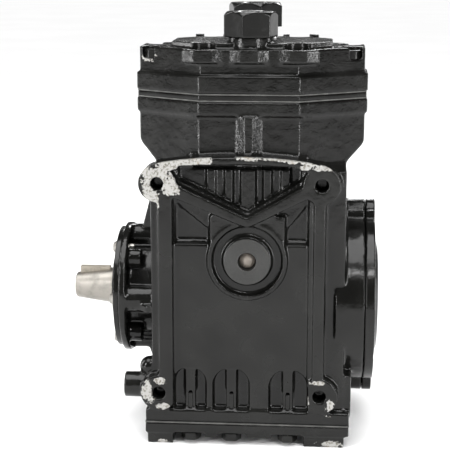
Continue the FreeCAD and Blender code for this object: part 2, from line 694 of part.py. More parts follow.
def make_seal():
    axis = (0, d.crank_height)
    front = HUB - d.seal_plate
    solid = fuse("seal_plate_solid", [
        bar("seal_plate_rim", "x", axis, (front, HUB), d.seal_plate_radius),
        bar("seal_plate_boss", "x", axis, (front - 3.3, HUB), d.seal_boss_radius),
        bar("seal_plate_spigot", "x", axis, (HUB - 1, HUB + 3.6), d.race - 0.05),
    ])
    tools = [
        bar("seal_plate_bore", "x", axis, (front - 5, HUB + 5), 13),
        bar("seal_seat_bore", "x", axis, (HUB - 4.5, HUB + 5), 19),
        bar("seal_spigot_bore", "x", axis, (HUB, HUB + 5), 22),
        cut("seal_groove", bar("seal_groove_out", "x", axis, (HUB + 0.9, HUB + 2.9), 28),
            [bar("seal_groove_in", "x", axis, (HUB, HUB + 4), 24.1)]),
    ]
    for index, degrees in enumerate(SEAL_SCREWS):
        y, z = on_circle(d.screw_circle, degrees)
        tools.append(bar("seal_hole_%d" % index, "x", (y, d.crank_height + z), (front - 1, HUB + 1),
                         d.seal_screw))
    for index, degrees in enumerate(COIL_HOLES):
        y, z = on_circle(d.screw_circle, degrees)
        tools.append(bar("seal_coil_hole_%d" % index, "x", (y, d.crank_height + z), (front - 1, HUB + 1),
                         d.coil_hole))
    node(cut("seal_plate_cut", solid, tools), "seal_plate")
    node(ring("seal_oring", "x", axis, HUB + 1.9, 25.04, 0.88), "seal_plate_o_ring")

    screws = []
    for index, degrees in enumerate(SEAL_SCREWS):
        y, z = on_circle(d.screw_circle, degrees)
        at = (y, d.crank_height + z)
        head = cut("seal_screw_head_%d" % index,
                   taper("seal_screw_dome_%d" % index, "x", at, (front - 2.4, front), 2.9, 4.3),
                   [block("seal_screw_slot_%d" % index, (front - 3, front - 1.5), (at[0] - 0.6, at[0] + 0.6),
                          (at[1] - 6, at[1] + 6))])
        shank = bar("seal_screw_shank_%d" % index, "x", at, (front, HUB + 8), d.seal_screw)
        screws.append(fuse("seal_screw_%d" % index, [head, shank]))
    node(group("seal_screws", screws), "seal_plate_screws")

    seat = cut("seat_ring_cut", bar("seat_ring_disc", "x", axis, (HUB - 4.5, HUB + 0.4), 19),
               [bar("seat_ring_hole", "x", axis, (HUB - 6, HUB + 2), 13)])
    node(seat, "seal_seat_ring")
    carbon = cut("carbon_cut", bar("carbon_disc", "x", axis, (HUB + 0.45, HUB + 4.4), 17),
                 [bar("carbon_hole", "x", axis, (HUB - 1, HUB + 6), d.shaft_radius)])
    node(carbon, "rotating_seal_ring")
    washer = cut("spring_cut", taper("spring_cone", "x", axis, (HUB + 4.45, HUB + 6.9), 17, 14.6),
                 [taper("spring_hole", "x", axis, (HUB + 4.45, HUB + 6.9), 15.4, 13)])
    node(washer, "seal_spring_washer")
    retainer = cut("retainer_cut", bar("retainer_disc", "x", axis, (HUB + 6.95, -70.1), 17),
                   [bar("retainer_hole", "x", axis, (HUB + 5, -68), d.shaft_radius)])
    node(retainer, "seal_spring_retainer")


def web_plate(name, span, pin_up):
    """A crank web: a cheek around the pin and a counterweight on the other side."""
    middle = d.crank_height
    disc = bar(name + "_disc", "x", (0, middle), span, d.web_radius)
    cheek = block(name + "_cheek", span, (-19, 19), (middle - 45, middle + 45))
    weight_z = (middle - 45, middle - 8) if pin_up else (middle + 8, middle + 45)
    weight = block(name + "_weight", span, (-34, 34), weight_z)
    return common(name, [disc, fuse(name + "_sum", [cheek, weight])])


def make_throws():
    """The two crankpins, half a turn apart, and the four webs that carry them."""
    side = d.rod_half + 0.2
    webs = {
        "web_front": (-48.5, FRONT_X - side),
        "web_inner_front": (FRONT_X + side, FRONT_X + 20),
        "web_inner_rear": (REAR_X - 20, REAR_X - side),
        "web_rear": (REAR_X + side, 59),
    }
    parts = [web_plate(name, span, "front" in name) for name, span in webs.items()]
    for name, x in CYLINDER_X.items():
        pin_z = d.crank_height + PIN_OFFSET[name] * d.throw
        parts.append(bar("crankpin_" + name, "x", (0, pin_z), (x - 9, x + 9), d.crankpin_radius))
    parts.append(bar("web_barrel", "x", (0, d.crank_height), (FRONT_X + 19, REAR_X - 19), 19))
    return tilt(fuse("crank_throws", parts), 1, d.rest_angle, d.crank_height)


def make_crankshaft():
    bearing_back = d.nose_tip - 55
    nose = turned("crank_nose", [
        (0, 0), (d.nose_radius - 0.8, 0), (d.nose_radius, 0.8),
        (d.shaft_radius, d.nose_tip - d.nose_start), (d.shaft_radius, d.nose_tip - 70),
        (d.journal, d.nose_tip - 70), (d.journal, bearing_back), (17, bearing_back),
        (17, bearing_back + 7), (0, bearing_back + 7),
    ], -d.nose_tip, 0, d.crank_height, TURN["x"])
    tail = turned("crank_tail", [(0, 0), (17, 0), (17, 6), (d.journal, 6), (d.journal, 20.5),
                                 (d.journal - 1, 21.5), (0, 21.5)], 58.5, 0, d.crank_height, TURN["x"])
    solid = fuse("crank_solid", [nose, tail, make_throws()])
    key_floor = d.crank_height + 6.6
    keyway = block("keyway", (-110, -90), (-2.4, 2.4), (key_floor, d.crank_height + 20))
    bolt = bar("nose_tap", "x", (0, d.crank_height), (-120, -d.nose_tip + 24), 4.2)
    node(cut("crank", solid, [keyway, bolt]), "crankshaft")
    key = block("key_block", (-110, -90), (-2.4, 2.4), (key_floor, key_floor + 6.6))
    node(key, "shaft_key")


def make_piston(side):
    x = CYLINDER_X[side]
    top = WRIST[side]
    radius = d.bore_radius - d.running
    crown, skirt = d.crown, d.skirt
    grooves = [15.4, 11.4, 7.4]
    shell = turned("piston_shell_" + side, [
        (0, crown), (0, crown - 6.4), (18, crown - 6.4), (20.6, crown - 9), (20.6, -skirt), (radius, -skirt),
        (radius, crown)], x, 0, top)
    bosses = common("pin_bosses_" + side, [
        cut("boss_gap_" + side, bar("boss_bar_" + side, "x", (0, top), (x - 22, x + 22), 10.5),
            [bar("boss_middle_" + side, "x", (0, top), (x - 8, x + 8), 12)]),
        bar("boss_limit_" + side, "z", (x, 0), (top - skirt, top + crown - 1), 21.5),
    ])
    solid = fuse("piston_solid_" + side, [shell, bosses])
    tools = [
        bar("pin_hole_" + side, "x", (0, top), (x - 30, x + 30), d.pin_radius),
        block("valve_relief_" + side, (x - 11.5, x + 11.5), (-19.8, 15.5),
              (top + crown - 3.2, top + crown + 1)),
    ]
    rings = []
    for index, height in enumerate(grooves):
        low, high = top + height, top + height + 2
        tools.append(cut("groove_%s_%d" % (side, index),
                         bar("groove_disc_%s_%d" % (side, index), "z", (x, 0), (low, high), 25),
                         [bar("groove_core_%s_%d" % (side, index), "z", (x, 0), (low - 1, high + 1), 21)]))
        rings.append(cut("ring_%s_%d" % (side, index),
                         bar("ring_disc_%s_%d" % (side, index), "z", (x, 0), (low + 0.05, high - 0.05),
                             d.bore_radius - 0.02),
                         [bar("ring_hole_%s_%d" % (side, index), "z", (x, 0), (low - 1, high + 1), 21.2),
                          block("ring_gap_%s_%d" % (side, index), (x + 15, x + 30), (-0.3, 0.3),
                                (low - 1, high + 1))]))
    for end in (-1, 1):
        low, high = (18.3, 19.5) if end > 0 else (-19.5, -18.3)
        tools.append(bar("clip_groove_%s_%d" % (side, end), "x", (0, top), (x + low, x + high), 7.6))
    node(cut("piston_cut_" + side, solid, tools), "piston_" + side)
    node(group("rings_" + side, rings), "piston_rings_" + side)
    pin = cut("pin_cut_" + side,
              bar("pin_bar_" + side, "x", (0, top), (x - d.pin_half, x + d.pin_half), d.pin_radius),
              [bar("pin_core_" + side, "x", (0, top), (x - 20, x + 20), 4.2)])
    node(pin, "wrist_pin_" + side)
    clips = []
    for end in (-1, 1):
        low, high = (18.4, 19.4) if end > 0 else (-19.4, -18.4)
        clips.append(cut("clip_%s_%d" % (side, end),
                         bar("clip_disc_%s_%d" % (side, end), "x", (0, top), (x + low, x + high), 7.5),
                         [bar("clip_hole_%s_%d" % (side, end), "x", (0, top), (x - 30, x + 30), 6.3),
                          block("clip_gap_%s_%d" % (side, end), (x - 30, x + 30), (-1.5, 1.5),
                                (top - 10, top))]))
    node(group("clips_" + side, clips), "wrist_pin_clips_" + side)


def make_rod(side):
    """The rod, its cap and bolts, modelled upright and then leant from the wrist pin to the crankpin."""
    x = CYLINDER_X[side]
    high = WRIST[side]
    low = high - d.rod_length
    thick = (x - d.rod_half, x + d.rod_half)
    through = (x - 20, x + 20)
    bore = d.crankpin_radius + d.big_end_gap
    solid = fuse("rod_solid_" + side, [
        bar("big_end_" + side, "x", (0, low), thick, d.big_end),
        block("rod_shoulder_" + side, thick, (-21, 21), (low, low + 10)),
        prism("rod_shank_" + side, "x", [(-9.2, low + 12), (9.2, low + 12), (7, high), (-7, high)],
              (x - 5.5, x + 5.5)),
        bar("small_end_" + side, "x", (0, high), (x - 7.6, x + 7.6), 11),
    ])
    rod_tools = [
        bar("big_bore_" + side, "x", (0, low), through, bore),
        bar("small_bore_" + side, "x", (0, high), through, d.pin_radius + d.running),
        block("rod_split_" + side, through, (-40, 40), (low - 40, low)),
    ]
    cap = fuse("rod_cap_solid_" + side, [
        bar("cap_ring_" + side, "x", (0, low), thick, d.big_end),
        block("cap_ears_" + side, thick, (-21, 21), (low - 9, low)),
    ])
    cap_tools = [
        bar("cap_bore_" + side, "x", (0, low), through, bore),
        block("cap_split_" + side, through, (-40, 40), (low, low + 40)),
    ]
    bolts = []
    for end in (-1, 1):
        tag = "%s_%d" % (side, end)
        flute_x = (x - 9, x - 2) if end < 0 else (x + 2, x + 9)
        rod_tools.append(prism("rod_flute_" + tag, "x", [
            (-5.8, low + 24), (5.8, low + 24), (4.4, high - 13), (-4.4, high - 13)], flute_x))
        at = (x, end * d.rod_bolt_y)
        drill = (low - 20, low + 12)
        rod_tools.append(bar("rod_bolt_hole_" + tag, "z", at, drill, d.rod_bolt))
        cap_tools.append(bar("cap_bolt_hole_" + tag, "z", at, drill, d.rod_bolt))
        cap_tools.append(bar("cap_bolt_seat_" + tag, "z", at, (low - 20, low - 9), 4.6))
        bolts.append(fuse("rod_bolt_" + tag, [
            prism("rod_bolt_head_" + tag, "z", hexagon(7.6, *at), (low - 12.5, low - 9)),
            bar("rod_bolt_shank_" + tag, "z", at, (low - 9, low + 11.5), d.rod_bolt),
        ]))
    pieces = {
        "connecting_rod_" + side: cut("rod_cut_" + side, solid, rod_tools),
        "rod_cap_" + side: cut("rod_cap_cut_" + side, cap, cap_tools),
        "rod_bolts_" + side: group("rod_bolt_pair_" + side, bolts),
    }
    for label, item in pieces.items():
        node(tilt(item, -PIN_OFFSET[side], ROD_TILT, high), label)


def make_valves():
    plan = octagon(d.head_half_x - 0.8, d.head_half_y - 0.8, d.flat_half, d.end_half)
    plate = prism("valve_plate_blank", "z", plan, (PLATE_LOW, PLATE_HIGH))
    gasket = prism("block_gasket_blank", "z", plan, (d.deck, PLATE_LOW))
    plate_tools, gasket_tools = [], []
    stops, screws = [], []
    for side, x in CYLINDER_X.items():
        gasket_tools.append(bar("gasket_bore_" + side, "z", (x, 0), (d.deck - 1, PLATE_LOW + 1), 24.2))
        for end in (-1, 1):
            at_x = x + end * 5.5
            plate_tools.append(bar("suction_hole_%s_%d" % (side, end), "z", (at_x, -12),
                                   (PLATE_LOW - 1, PLATE_HIGH + 1), 4.2))
            plate_tools.append(bar("discharge_hole_%s_%d" % (side, end), "z", (at_x, 11),
                                   (PLATE_LOW - 1, PLATE_HIGH + 1), 3.6))
        under = PLATE_LOW - d.reed_gap
        over = PLATE_HIGH + d.reed_gap
        node(block("suction_leaf_" + side, (x - 10.5, x + 10.5), (-18.6, 14.4), (under - d.reed, under)),
             "suction_reed_" + side)
        node(block("discharge_leaf_" + side, (x - 9.5, x + 9.5), (4.6, 19), (over, over + d.reed)),
             "discharge_reed_" + side)
        stop = prism("stop_" + side + "_blank", "x", [
            (26, PLATE_HIGH), (19.4, PLATE_HIGH), (19.4, PLATE_HIGH + 1.2), (5.5, PLATE_HIGH + 3.2),
            (5.5, PLATE_HIGH + 4.7), (19.4, PLATE_HIGH + 2.8), (26, PLATE_HIGH + 2.8)], (x - 9.5, x + 9.5))
        holes = []
        for end in (-1, 1):
            tag = "%s_%d" % (side, end)
            at = (x + end * 5.5, d.stop_screw_y)
            seat = PLATE_HIGH + 2.8
            holes.append(bar("stop_hole_" + tag, "z", at, (PLATE_LOW, PLATE_HIGH + 9), d.stop_screw))
            plate_tools.append(bar("stop_tap_" + tag, "z", at, (PLATE_LOW + 0.6, PLATE_HIGH + 1),
                                   d.stop_screw))
            screws.append(fuse("valve_screw_" + tag, [
                bar("valve_screw_shank_" + tag, "z", at, (PLATE_LOW + 0.8, seat), d.stop_screw),
                bar("valve_screw_head_" + tag, "z", at, (seat, seat + 2.4), 3)]))
        stops.append(cut("stop_" + side, stop, holes))
    plate_span = (PLATE_LOW - 1, PLATE_HIGH + 1)
    gasket_span = (d.deck - 1, PLATE_LOW + 1)
    loose = d.head_bolt + 0.2
    for index, spot_xy in enumerate(HEAD_BOLT_SPOTS):
        plate_tools.append(bar("plate_bolt_%d" % index, "z", spot_xy, plate_span, loose))
        gasket_tools.append(bar("gasket_bolt_%d" % index, "z", spot_xy, gasket_span, loose))
    for index, spot_xy in enumerate(DOWEL_SPOTS):
        plate_tools.append(bar("plate_dowel_%d" % index, "z", spot_xy, plate_span, d.dowel))
        gasket_tools.append(bar("gasket_dowel_%d" % index, "z", spot_xy, gasket_span, d.dowel))
    node(cut("valve_plate_cut", plate, plate_tools), "valve_plate")
    node(cut("block_gasket_cut", gasket, gasket_tools), "valve_plate_gasket")
    node(group("stops", stops), "discharge_valve_stops")
    node(group("valve_screws", screws), "valve_stop_screws")
    pins = [bar("dowel_%d" % index, "z", (x, y), (213.5, HEAD_LOW + 4), d.dowel)
            for index, (x, y) in enumerate(DOWEL_SPOTS)]
    node(group("dowels", pins), "dowel_pins")


def chamber_plan(sign):
    """Half of the head's inside: suction on one side of the wall, discharge on the other."""
    mid = d.mid
    corners = [(mid - 60, 2.5), (mid + 60, 2.5), (mid + 60, 17), (mid + 29, 38), (mid - 29, 38),
               (mid - 60, 17)]
    return [(x, sign * y) for x, y in corners]


def chambers(name, low, high):
    prisms = [prism("%s_suction" % name, "z", chamber_plan(-1), (low, high)),
              prism("%s_discharge" % name, "z", chamber_plan(1), (low, high))]
    posts = [bar("%s_post_%d" % (name, index), "z", (x, y), (low, high), 8.2)
             for index, (x, y) in enumerate(HEAD_BOLT_SPOTS)]
    return cut(name, fuse(name + "_both", prisms), posts)


def lobe(name, x, sign, half, span, reach):
    """A faceted boss that stands out of the head's side."""
    base = 36
    corners = [(x - half, sign * base), (x - half, sign * (reach - 3)), (x - half * 0.36, sign * reach),
               (x + half * 0.36, sign * reach), (x + half, sign * (reach - 3)), (x + half, sign * base)]
    return prism(name, "z", corners, span)


def make_head():
    lower = prism("head_lower", "z", octagon(d.head_half_x, d.head_half_y, d.flat_half, d.end_half),
                  (HEAD_LOW, d.ledge))
    upper = prism("head_upper", "z", octagon(d.head_half_x - 2, d.head_half_y - 2.5, d.flat_half - 1,
                                             d.end_half - 0.5), (d.ledge - 1, d.head_top))
    raised = prism("head_plateau", "z", octagon(51, 35.5, 33, 15), (d.head_top - 1, d.plateau))
    parts = [lower, upper, raised]
    for sign, tag in ((-1, "near"), (1, "far")):
        for index, x in enumerate((d.mid - 28.6, d.mid, d.mid + 30)):
            parts.append(lobe("lobe_%s_%d" % (tag, index), x, sign, 13.2, (242.5, d.head_top), 44.4))
        for index, x in enumerate((d.mid - 29, d.mid + 30)):
            if tag == "far":
                parts.append(lobe("lobe_top_%d" % index, x, sign, 12, (d.head_top - 1, 255.6), 40))
    for tag, sign, seat in (("a", -1, d.port_a_seat), ("b", 1, d.port_b_seat)):
        at = (d.mid, sign * d.port_y)
        parts.append(bar("port_neck_" + tag, "z", at, (d.head_top - 2, seat), d.port_neck))
        parts.append(bar("port_stub_" + tag, "z", at, (seat - 1, seat + 10), d.port_thread))
    solid = fuse("head_solid", parts)
    tools = [chambers("head_chambers", HEAD_LOW - 1, d.head_top - 5)]
    for tag, sign in (("a", -1), ("b", 1)):
        tools.append(bar("port_bore_" + tag, "z", (d.mid, sign * d.port_y), (d.ledge, 285), d.port_bore))
    for index, (x, y) in enumerate(HEAD_BOLT_SPOTS):
        tools.append(bar("head_hole_%d" % index, "z", (x, y), (HEAD_LOW - 1, 260), d.head_bolt + 0.2))
        tools.append(bar("head_sink_%d" % index, "z", (x, y), (d.head_top - 7.5, 260), 7.4))
    for index, (x, y) in enumerate(DOWEL_SPOTS):
        tools.append(bar("head_dowel_%d" % index, "z", (x, y), (HEAD_LOW - 1, HEAD_LOW + 5), d.dowel))
    node(cut("head_cut", solid, tools), "cylinder_head")

    blank = prism("head_gasket_blank", "z",
                  octagon(d.head_half_x - 0.8, d.head_half_y - 0.8, d.flat_half, d.end_half),
                  (PLATE_HIGH, HEAD_LOW))
    holes = [chambers("gasket_windows", PLATE_HIGH - 1, HEAD_LOW + 1)]
    for index, (x, y) in enumerate(HEAD_BOLT_SPOTS):
        holes.append(bar("head_gasket_hole_%d" % index, "z", (x, y), (PLATE_HIGH - 1, HEAD_LOW + 1),
                         d.head_bolt + 0.2))
    for index, (x, y) in enumerate(DOWEL_SPOTS):
        holes.append(bar("head_gasket_dowel_%d" % index, "z", (x, y), (PLATE_HIGH - 1, HEAD_LOW + 1),
                         d.dowel))
    node(cut("head_gasket_cut", blank, holes), "head_gasket")

    bolts = []
    for index, (x, y) in enumerate(HEAD_BOLT_SPOTS):
        seat = d.head_top - 7.5
        head = prism("head_bolt_head_%d" % index, "z", hexagon(11.6, x, y), (seat, seat + 5.6))
        shank = bar("head_bolt_shank_%d" % index, "z", (x, y), (196, seat), d.head_bolt)
        bolts.append(fuse("head_bolt_%d" % index, [head, shank]))
    node(group("head_bolts_all", bolts), "head_bolts")


def make_cap(label, sign, seat, across):
    """A hexagonal cap screwed over a service port, with its corners turned off at the top."""
    x, y = d.mid, sign * d.port_y
    top = seat + d.cap_height
    half_corner = across / math.sqrt(3)
    blank = prism(label + "_hexagon", "z", hexagon(across, x, y, 30 + 14 * sign), (seat, top))
    envelope = turned(label + "_envelope", [
        (0, 0), (half_corner + 1, 0), (half_corner + 1, d.cap_height - 3.2),
        (half_corner - 2.6, d.cap_height), (0, d.cap_height)], x, y, seat)
    solid = common(label + "_solid", [blank, envelope])
    tools = [
        bar(label + "_socket", "z", (x, y), (seat - 1, seat + 11.4), d.port_thread + d.running),
        taper(label + "_dish", "z", (x, y), (top - 0.8, top), 7.5, 9.5),
    ]
    node(cut(label + "_cut", solid, tools), label)
    node(bar(label + "_washer", "z", (x, y), (seat + 10.05, seat + 11.4), d.port_thread), label + "_seal")


def make_plug():
    at = (d.mid, d.plug_height)
    outer, inner = -58.6, -56.8
    solid = fuse("plug_solid", [
        bar("plug_flange", "y", at, (outer, inner), d.plug_radius),
        bar("plug_thread", "y", at, (inner, -44), d.plug_shank),
    ])
    socket = taper("plug_socket", "y", at, (outer - 0.1, outer + 6), 5.8, 5.2)
    node(cut("plug_cut", solid, [socket]), "oil_filler_plug")
    seal = cut("plug_seal_cut", bar("plug_seal_disc", "y", at, (inner, -55.6), 13),
               [bar("plug_seal_hole", "y", at, (-60, -50), d.plug_shank)])
    node(seal, "oil_plug_seal")


def check(item):
    """Stops the build if an object failed, because recomputing doesn't."""
    bad = [state for state in item.State if state in ("Invalid", "Error")]
    if bad:
        raise RuntimeError("%s (%s): %s" % (item.Name, item.Label, bad))


def build():
    make_crankcase()
    make_sleeves()
    make_base()
    make_rear_cover()
    make_bearing("front_bearing", FRONT_BEARING)
    make_bearing("rear_bearing", REAR_BEARING)
    make_seal()
    make_crankshaft()
    for side in SIDES:
        make_piston(side)
        make_rod(side)
    make_valves()
    make_head()
    make_cap("suction_port_cap", -1, d.port_a_seat, size_of(30))
    make_cap("discharge_port_cap", 1, d.port_b_seat, size_of(32))
    make_plug()
    doc.recompute()
    for item in doc.Objects:
        check(item)


def export():
    os.makedirs("parts", exist_ok=True)
    for item in NODES:
        shape = item.Shape
        if shape.isNull() or not shape.isValid():
            raise RuntimeError("%s has no valid shape" % item.Label)
        shape.exportStep("parts/%s.step" % item.Label)
        print("%-28s %2d solids %12.1f mm3" % (item.Label, len(shape.Solids), shape.Volume))
    print(len(NODES), "nodes")


build()
export()
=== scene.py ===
import json
import math
import bmesh
import bpy
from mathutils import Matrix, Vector


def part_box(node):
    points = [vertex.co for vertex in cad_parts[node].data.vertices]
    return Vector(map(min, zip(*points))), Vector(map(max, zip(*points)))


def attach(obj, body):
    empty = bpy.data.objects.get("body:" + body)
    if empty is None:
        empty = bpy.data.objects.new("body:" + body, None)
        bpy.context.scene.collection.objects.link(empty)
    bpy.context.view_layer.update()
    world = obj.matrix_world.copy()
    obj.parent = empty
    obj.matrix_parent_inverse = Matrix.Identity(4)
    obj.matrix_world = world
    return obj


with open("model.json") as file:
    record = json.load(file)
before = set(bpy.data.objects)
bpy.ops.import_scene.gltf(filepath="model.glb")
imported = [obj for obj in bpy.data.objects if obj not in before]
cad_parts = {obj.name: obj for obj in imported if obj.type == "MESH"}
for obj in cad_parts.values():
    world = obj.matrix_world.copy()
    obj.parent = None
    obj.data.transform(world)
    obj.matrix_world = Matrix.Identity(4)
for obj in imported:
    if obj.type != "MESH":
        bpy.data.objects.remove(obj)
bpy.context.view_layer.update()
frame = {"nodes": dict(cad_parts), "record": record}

# Metres throughout, in the row's frame: +Z up, shaft along X with its nose towards -X,
# +Y away from the viewer.
MM = 0.001
NODES = frame["nodes"]


def mount(name):
    return next(item for item in frame["record"]["mounts"] if item["name"] == name)


def plug_centre(y):
    """The point on the oil plug's axis at a given y."""
    low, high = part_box("oil_filler_plug")
    return Vector(((low[0] + high[0]) / 2, y, (low[2] + high[2]) / 2))


# The near side's mounting face, which the camera looks at.
FACE_Y = mount("side_near")["pos_m"][1]


# ---------------------------------------------------------------- material graphs

# A Mix node has sockets for each type of value. These are the ones for colours.
MIX_A, MIX_B, MIX_RESULT = 6, 7, 2


class Graph:
    """A material's node tree, with short calls for the nodes that this scene uses."""

    def __init__(self, name, metallic=0.0, specular=0.5):
        self.material = bpy.data.materials.new(name)
        self.material.use_nodes = True
        self.tree = self.material.node_tree
        self.tree.nodes.clear()
        self.shader = self.add("ShaderNodeBsdfPrincipled")
        self.shader.inputs["Metallic"].default_value = metallic
        self.shader.inputs["Specular IOR Level"].default_value = specular
        output = self.add("ShaderNodeOutputMaterial")
        self.tree.links.new(self.shader.outputs["BSDF"], output.inputs["Surface"])
        self.place = self.add("ShaderNodeTexCoord").outputs["Object"]

    def add(self, kind, **settings):
        item = self.tree.nodes.new(kind)
        for key, value in settings.items():
            setattr(item, key, value)
        return item

    def feed(self, socket, value):
        """Links a socket to another, or sets its value."""
        if isinstance(value, bpy.types.NodeSocket):
            self.tree.links.new(value, socket)
        else:
            socket.default_value = value

    def set(self, name, value):
        self.feed(self.shader.inputs[name], value)

    def calc(self, operation, one, two=0.0):
        item = self.add("ShaderNodeMath", operation=operation)
        self.feed(item.inputs[0], one)
        self.feed(item.inputs[1], two)
        return item.outputs[0]

    def noise(self, size, detail=3.0, rough=0.55, stretch=None):
        """Noise from 0 to 1 with a grain of about size metres, packed tighter along an axis by stretch."""
        item = self.add("ShaderNodeTexNoise")
        item.inputs["Scale"].default_value = 1.0 / size
        item.inputs["Detail"].default_value = detail
        item.inputs["Roughness"].default_value = rough
        place = self.place
        if stretch:
            mapping = self.add("ShaderNodeMapping")
            mapping.inputs["Scale"].default_value = stretch
            self.feed(mapping.inputs["Vector"], place)
            place = mapping.outputs["Vector"]
        self.feed(item.inputs["Vector"], place)
        return item.outputs["Fac"]

    def span(self, value, low, high, first=0.0, last=1.0):
        """Maps low..high smoothly to first..last and holds the ends."""
        item = self.add("ShaderNodeMapRange", interpolation_type="SMOOTHSTEP")
        for socket, number in zip(item.inputs[:5], (value, low, high, first, last)):
            self.feed(socket, number)
        return item.outputs["Result"]

    def mix(self, amount, one, two):
        item = self.add("ShaderNodeMix", data_type="RGBA")
        self.feed(item.inputs["Factor"], amount)
        self.feed(item.inputs[MIX_A], one)
        self.feed(item.inputs[MIX_B], two)
        return item.outputs[MIX_RESULT]

    def spot(self, centre, reach):
        """1 at a point, falling to 0 on the ellipsoid around it whose half axes are reach."""
        offset = self.add("ShaderNodeVectorMath", operation="SUBTRACT")
        self.feed(offset.inputs[0], self.place)
        offset.inputs[1].default_value = centre
        scaled = self.add("ShaderNodeVectorMath", operation="DIVIDE")
        self.feed(scaled.inputs[0], offset.outputs[0])
        scaled.inputs[1].default_value = reach
        length = self.add("ShaderNodeVectorMath", operation="LENGTH")
        self.feed(length.inputs[0], scaled.outputs[0])
        return self.span(length.outputs["Value"], 0.0, 1.0, 1.0, 0.0)

    def axis(self, name):
        split = self.add("ShaderNodeSeparateXYZ")
        self.feed(split.inputs[0], self.place)
        return split.outputs[name]

    def bump(self, height, depth, strength=1.0, below=None):
        item = self.add("ShaderNodeBump")
        item.inputs["Strength"].default_value = strength
        item.inputs["Distance"].default_value = depth
        self.feed(item.inputs["Height"], height)
        if below is not None:
            self.feed(item.inputs["Normal"], below)
        return item.outputs["Normal"]


def grey(level):
    return (level, level, level, 1.0)


BLACK = (0.0040, 0.0040, 0.0036, 1.0)
BLACK_DUSTY = (0.0085, 0.0085, 0.0078, 1.0)
BARE_CAST = (0.34, 0.335, 0.32, 1.0)
BARE_DARK = (0.13, 0.12, 0.10, 1.0)
RUST = (0.14, 0.085, 0.03, 1.0)

# The outer edge of the arched bar over the side holes: its radius, and the height of its top.
ARCH_RADIUS = 310 * MM
ARCH_TOP = 187 * MM


def arch_wear(graph):
    """Wear on the arched bar over the side holes: wide beside the front boss, then a thin ragged rim."""
    place = graph.add("ShaderNodeSeparateXYZ")
    graph.feed(place.inputs[0], graph.place)
    x, y, z = place.outputs
    rise = graph.calc("SUBTRACT", z, ARCH_TOP - ARCH_RADIUS)
    squares = graph.calc("ADD", graph.calc("MULTIPLY", x, x), graph.calc("MULTIPLY", rise, rise))
    out = graph.calc("SQRT", squares)
    wide = graph.calc("MULTIPLY", graph.span(out, ARCH_RADIUS - 6.4 * MM, ARCH_RADIUS - 4.6 * MM),
                      graph.span(x, -20 * MM, -13 * MM, first=0.95, last=0.0))
    thin = graph.calc("MULTIPLY", graph.span(out, ARCH_RADIUS - 3.4 * MM, ARCH_RADIUS - 0.6 * MM),
                      graph.span(x, -6 * MM, 0.0, first=0.0, last=0.66))
    near = graph.span(y, FACE_Y + 3 * MM, FACE_Y + 6 * MM, first=1.0, last=0.0)
    inside = graph.span(out, ARCH_RADIUS + 2 * MM, ARCH_RADIUS + 3 * MM, first=1.0, last=0.0)
    ends = graph.span(graph.calc("ABSOLUTE", x), 41 * MM, 50 * MM, first=1.0, last=0.45)
    strip = graph.calc("MULTIPLY", graph.calc("MAXIMUM", wide, thin), graph.calc("MULTIPLY", near, inside))
    return graph.calc("MULTIPLY", strip, ends)


def wear_mask(graph, patches, extra=None):
    """Ragged chipped areas: each patch's middle is bare, and its rim breaks up with the grain."""
    coarse = graph.calc("MULTIPLY", graph.noise(7 * MM, 5, 0.62), 0.6)
    fine = graph.calc("MULTIPLY", graph.noise(1.6 * MM, 3, 0.6), 0.4)
    grain = graph.calc("ADD", coarse, fine)
    cover = extra(graph) if extra else None
    for centre, reach in patches:
        spot = graph.spot(centre, reach)
        cover = spot if cover is None else graph.calc("MAXIMUM", cover, spot)
    ragged = graph.span(grain, 0.33, 0.64, first=0.12, last=0.8)
    return graph.span(graph.calc("SUBTRACT", cover, ragged), -0.05, 0.04)


def gloss_paint(name, roughcast, patches=(), smooth_below=None, extra=None):
    """Glossy black paint over a sand casting, with chips down to bare metal where there are patches.

    roughcast is the strength of the skin's grain, and smooth_below the height under which it fades.
    """
    graph = Graph(name, specular=0.26)
    coarse = graph.noise(5.5 * MM, 4, 0.55)
    fine = graph.noise(1.1 * MM, 3, 0.6)
    waves = graph.noise(22 * MM, 2, 0.5)
    zone = graph.span(graph.noise(40 * MM, 2, 0.5), 0.35, 0.65, first=0.6, last=1.0)
    if smooth_below is not None:
        low, high = smooth_below - 4 * MM, smooth_below + 10 * MM
        above = graph.span(graph.axis("Z"), low, high, first=0.28, last=1.0)
        zone = graph.calc("MULTIPLY", zone, above)
    height = graph.calc("MULTIPLY", graph.calc("ADD", coarse, graph.calc("MULTIPLY", fine, 0.35)), zone)
    paint = graph.mix(graph.span(waves, 0.3, 0.75), BLACK, BLACK_DUSTY)
    roughness = graph.calc("ADD", graph.span(coarse, 0.3, 0.7, first=0.09, last=0.17),
                           graph.span(waves, 0.3, 0.8, first=0.0, last=0.07))
    normal = graph.bump(height, 0.9 * MM, roughcast)
    if patches:
        worn = wear_mask(graph, patches, extra)
        specks = graph.span(graph.noise(1.5 * MM, 4, 0.7), 0.50, 0.60)
        metal = graph.mix(specks, BARE_CAST, BARE_DARK)
        rusted = graph.span(graph.noise(9 * MM, 3, 0.6), 0.60, 0.72, first=0.0, last=0.7)
        metal = graph.mix(rusted, metal, RUST)
        graph.set("Base Color", graph.mix(worn, paint, metal))
        graph.set("Roughness", graph.calc("ADD", roughness, graph.calc("MULTIPLY", worn, 0.32)))
        graph.set("Metallic", graph.calc("MULTIPLY", worn, 0.25))
        paint_film = graph.calc("SUBTRACT", 1.0, worn)
        normal = graph.bump(paint_film, 0.12 * MM, 0.7, normal)
    else:
        graph.set("Base Color", paint)
        graph.set("Roughness", roughness)
    graph.set("Normal", normal)
    return graph.material


